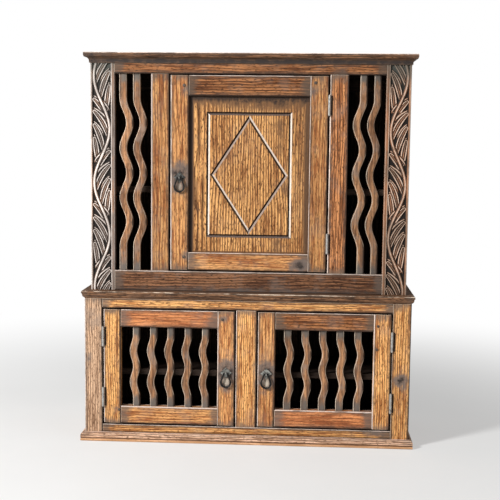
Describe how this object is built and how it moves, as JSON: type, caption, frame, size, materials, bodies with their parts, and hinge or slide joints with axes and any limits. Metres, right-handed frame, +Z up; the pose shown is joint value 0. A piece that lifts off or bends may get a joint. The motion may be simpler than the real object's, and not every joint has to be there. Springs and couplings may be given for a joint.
{
  "type": "wall cabinet",
  "caption": "Two-stage oak wall cabinet with a panelled door between wavy splats and carved stiles, over a wider base with open wavy-splat doors and iron ring pulls.",
  "frame": {"origin": "centre of the footprint, at the underside of the plinth", "axes": "+X to the right seen from the front, +Y towards the wall, +Z up"},
  "size_m": [0.795, 0.28, 0.925],
  "materials": {
    "oak_honey": "waxed oak, honey brown, with open grain and worn edges",
    "oak_golden": "waxed oak, golden, with strong grain",
    "oak_brown": "waxed oak, mid brown",
    "oak_dark": "old wax over dark oak, rubbed on the edges",
    "oak_carved": "carved oak, dark in the ground and rubbed pale on the ridges",
    "oak_splat": "sawn oak, grey brown, rubbed on the edges",
    "oak_panel": "waxed oak panel with coarse upright grain",
    "oak_inside": "unpolished oak, dull and dark",
    "iron": "dark wrought iron, rubbed bright where it is handled",
    "hinge_steel": "dull steel with brown tarnish"
  },
  "bodies": {
    "root": {"base_stile_left": "oak_honey", "base_stile_right": "oak_honey", "base_centre_stile": "oak_golden", "base_top_rail": "oak_golden", "base_bottom_rail": "oak_golden", "base_side_left": "oak_brown", "base_side_right": "oak_brown", "base_bottom_board": "oak_inside", "base_shelf": "oak_inside", "base_shelf_bearers": "oak_inside", "base_back_boards": "oak_inside", "base_door_stop": "oak_inside", "plinth_front": "oak_dark", "plinth_returns": "oak_dark", "waist_board": "oak_dark", "carved_stile_left": "oak_carved", "carved_stile_right": "oak_carved", "inner_stile_left": "oak_honey", "inner_stile_right": "oak_honey", "upper_top_rail": "oak_brown", "upper_bottom_rail": "oak_dark", "upper_splats_left": "oak_splat", "upper_splats_right": "oak_splat", "upper_side_left": "oak_brown", "upper_side_right": "oak_brown", "upper_shelf": "oak_inside", "upper_shelf_bearers": "oak_inside", "upper_back_boards": "oak_inside", "hanging_rail": "oak_inside", "top_board": "oak_brown", "cornice_front": "oak_dark", "cornice_returns": "oak_dark", "upper_door_stop": "oak_inside", "hinge_frame_leaves": "hinge_steel", "hinge_pins": "hinge_steel"},
    "upper_door": {"upper_door_lock_stile": "oak_honey", "upper_door_hinge_stile": "oak_honey", "upper_door_top_rail": "oak_honey", "upper_door_bottom_rail": "oak_honey", "upper_door_panel": "oak_panel", "upper_door_hinge_leaves": "hinge_steel", "upper_door_pull_plate": "iron"},
    "upper_pull": {"upper_pull_ring": "iron"},
    "left_door": {"left_door_lock_stile": "oak_honey", "left_door_hinge_stile": "oak_honey", "left_door_top_rail": "oak_honey", "left_door_bottom_rail": "oak_honey", "left_door_splats": "oak_splat", "left_door_hinge_leaves": "hinge_steel", "left_door_pull_plate": "iron"},
    "left_pull": {"left_pull_ring": "iron"},
    "right_door": {"right_door_lock_stile": "oak_honey", "right_door_hinge_stile": "oak_honey", "right_door_top_rail": "oak_honey", "right_door_bottom_rail": "oak_honey", "right_door_splats": "oak_splat", "right_door_hinge_leaves": "hinge_steel", "right_door_pull_plate": "iron"},
    "right_pull": {"right_pull_ring": "iron"}
  },
  "joints": [
    {"name": "upper_door_hinge", "type": "hinge", "parent": "root", "child": "upper_door", "pos_m": [0.1865, -0.1136, 0.6445], "axis": [0, 0, 1], "range_deg": [0, 170]},
    {"name": "upper_ring_swing", "type": "hinge", "parent": "upper_door", "child": "upper_pull", "pos_m": [-0.1635, -0.1158, 0.6345], "axis": [-1, 0, 0], "range_deg": [0, 165]},
    {"name": "left_door_hinge", "type": "hinge", "parent": "root", "child": "left_door", "pos_m": [-0.343, -0.1336, 0.1815], "axis": [0, 0, -1], "range_deg": [0, 170]},
    {"name": "left_ring_swing", "type": "hinge", "parent": "left_door", "child": "left_pull", "pos_m": [-0.048, -0.1358, 0.1715], "axis": [-1, 0, 0], "range_deg": [0, 165]},
    {"name": "right_door_hinge", "type": "hinge", "parent": "root", "child": "right_door", "pos_m": [0.343, -0.1336, 0.1815], "axis": [0, 0, 1], "range_deg": [0, 170]},
    {"name": "right_ring_swing", "type": "hinge", "parent": "right_door", "child": "right_pull", "pos_m": [0.048, -0.1358, 0.1715], "axis": [-1, 0, 0], "range_deg": [0, 165]}
  ]
}
